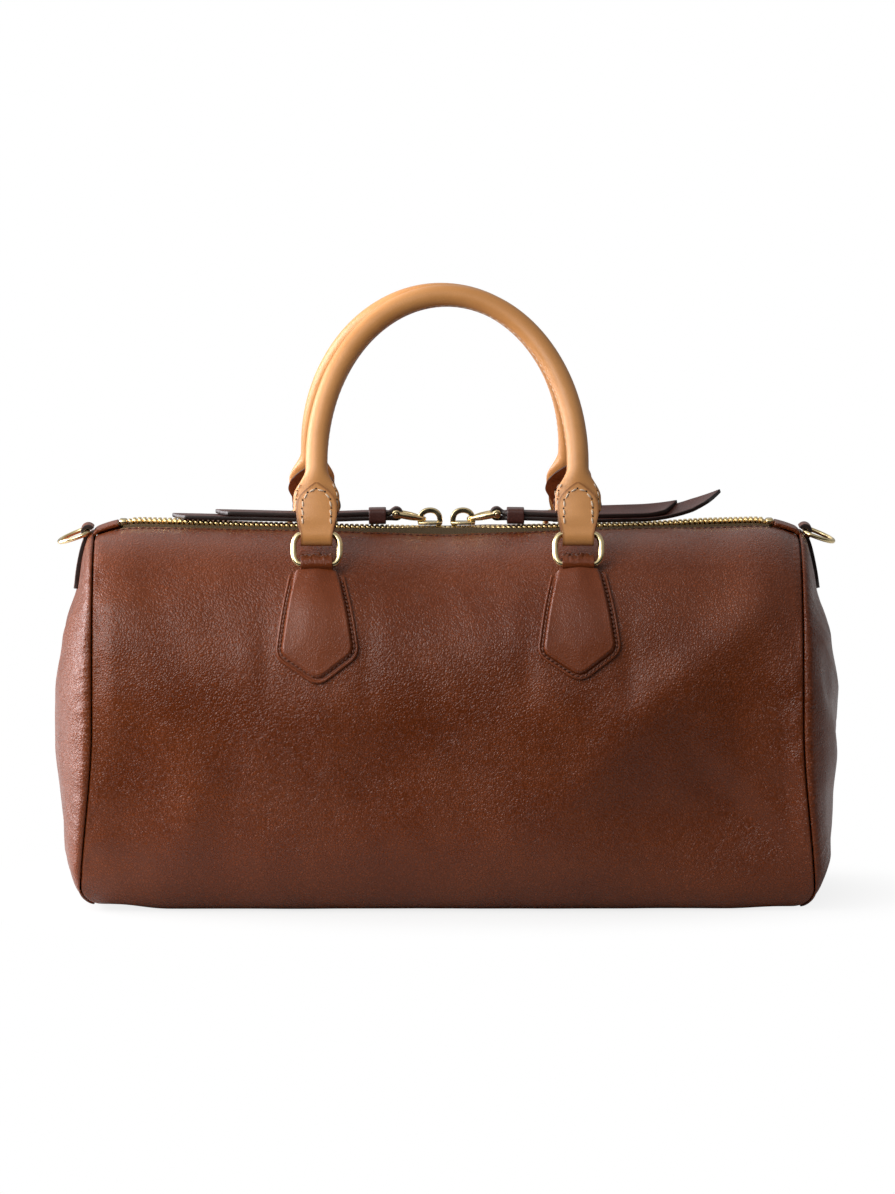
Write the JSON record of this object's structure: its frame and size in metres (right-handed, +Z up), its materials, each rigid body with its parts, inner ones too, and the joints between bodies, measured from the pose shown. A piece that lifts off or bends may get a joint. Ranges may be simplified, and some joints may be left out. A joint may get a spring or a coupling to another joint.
{
  "type": "top handle bag",
  "caption": "Soft leather barrel bag with rolled top handles on rings, a two-way zip with leather pulls, and rings at the ends for a strap.",
  "frame": {"origin": "middle of the bag's underside, on the surface that it stands on", "axes": "+X along the zip to the bag's right as its front is seen, -Y towards the front, +Z up"},
  "size_m": [0.371, 0.168, 0.291],
  "materials": {
    "brown_leather": "satin, fine pebbled grain",
    "tan_leather": "smooth satin, burnished edges",
    "dark_leather": "satin",
    "pale_gold": "polished, pale gold plated",
    "zip_tape": "matt woven tape",
    "lining_cloth": "matt woven cloth",
    "board": "matt pressed fibre",
    "cord": "matt twisted cotton"
  },
  "bodies": {
    "bag": {"front_panel": "brown_leather", "rear_panel": "brown_leather", "base_panel": "brown_leather", "left_end_panel": "brown_leather", "right_end_panel": "brown_leather", "left_zip_strip": "brown_leather", "right_zip_strip": "brown_leather", "left_end_ring_holder": "brown_leather", "right_end_ring_holder": "brown_leather", "lining": "lining_cloth", "base_board": "board", "front_zip_tape": "zip_tape", "rear_zip_tape": "zip_tape", "front_zip_teeth": "pale_gold", "rear_zip_teeth": "pale_gold", "left_zip_stop": "pale_gold", "right_zip_stop": "pale_gold", "front_left_patch": "brown_leather", "front_left_strap": "brown_leather", "front_right_patch": "brown_leather", "front_right_strap": "brown_leather", "rear_left_patch": "brown_leather", "rear_left_strap": "brown_leather", "rear_right_patch": "brown_leather", "rear_right_strap": "brown_leather"},
    "front_rings": {"front_left_ring": "pale_gold", "front_right_ring": "pale_gold"},
    "front_handle": {"front_handle_sleeve": "tan_leather", "front_handle_core": "cord", "front_left_tab": "tan_leather", "front_left_tab_backing": "dark_leather", "front_right_tab": "tan_leather", "front_right_tab_backing": "dark_leather"},
    "rear_rings": {"rear_left_ring": "pale_gold", "rear_right_ring": "pale_gold"},
    "rear_handle": {"rear_handle_sleeve": "tan_leather", "rear_handle_core": "cord", "rear_left_tab": "tan_leather", "rear_left_tab_backing": "dark_leather", "rear_right_tab": "tan_leather", "rear_right_tab_backing": "dark_leather"},
    "slider_left": {"left_slider": "pale_gold"},
    "link_left": {"left_link": "pale_gold", "left_link_pin": "pale_gold"},
    "pull_left": {"left_pull": "dark_leather", "left_pull_keeper": "dark_leather"},
    "end_ring_left": {"left_end_ring": "pale_gold"},
    "slider_right": {"right_slider": "pale_gold"},
    "link_right": {"right_link": "pale_gold", "right_link_pin": "pale_gold"},
    "pull_right": {"right_pull": "dark_leather", "right_pull_keeper": "dark_leather"},
    "end_ring_right": {"right_end_ring": "pale_gold"}
  },
  "joints": [
    {"name": "front_ring_hinge", "type": "hinge", "parent": "bag", "child": "front_rings", "pos_m": [0, -0.05744, 0.16374], "axis": [1, 0, 0], "range_deg": [0, 105]},
    {"name": "front_handle_hinge", "type": "hinge", "parent": "front_rings", "child": "front_handle", "pos_m": [0, -0.05175, 0.17708], "axis": [1, 0, 0], "range_deg": [0, 70]},
    {"name": "rear_ring_hinge", "type": "hinge", "parent": "bag", "child": "rear_rings", "pos_m": [-0.0025, 0.05744, 0.16374], "axis": [-1, 0, 0], "range_deg": [0, 105]},
    {"name": "rear_handle_hinge", "type": "hinge", "parent": "rear_rings", "child": "rear_handle", "pos_m": [-0.0025, 0.05175, 0.17708], "axis": [-1, 0, 0], "range_deg": [0, 70]},
    {"name": "left_slider_travel", "type": "slide", "parent": "bag", "child": "slider_left", "axis": [-0.9997, 0, 0.0241], "range_m": [0, 0.124]},
    {"name": "left_link_hinge", "type": "hinge", "parent": "slider_left", "child": "link_left", "pos_m": [-0.0105, 0, 0.17883], "axis": [0, 1, 0], "range_deg": [0, 70]},
    {"name": "left_pull_hinge", "type": "hinge", "parent": "link_left", "child": "pull_left", "pos_m": [-0.0239, 0, 0.18143], "axis": [0, 1, 0], "range_deg": [0, 80]},
    {"name": "left_end_ring_hinge", "type": "hinge", "parent": "bag", "child": "end_ring_left", "pos_m": [-0.1702, 0, 0.1736], "axis": [0, 1, 0], "range_deg": [0, 140]},
    {"name": "right_slider_travel", "type": "slide", "parent": "bag", "child": "slider_right", "axis": [0.9997, 0, 0.0241], "range_m": [0, 0.124]},
    {"name": "right_link_hinge", "type": "hinge", "parent": "slider_right", "child": "link_right", "pos_m": [0.0105, 0, 0.17883], "axis": [0, -1, 0], "range_deg": [0, 70]},
    {"name": "right_pull_hinge", "type": "hinge", "parent": "link_right", "child": "pull_right", "pos_m": [0.0239, 0, 0.18143], "axis": [0, -1, 0], "range_deg": [0, 80]},
    {"name": "right_end_ring_hinge", "type": "hinge", "parent": "bag", "child": "end_ring_right", "pos_m": [0.1702, 0, 0.1736], "axis": [0, -1, 0], "range_deg": [0, 140]}
  ]
}
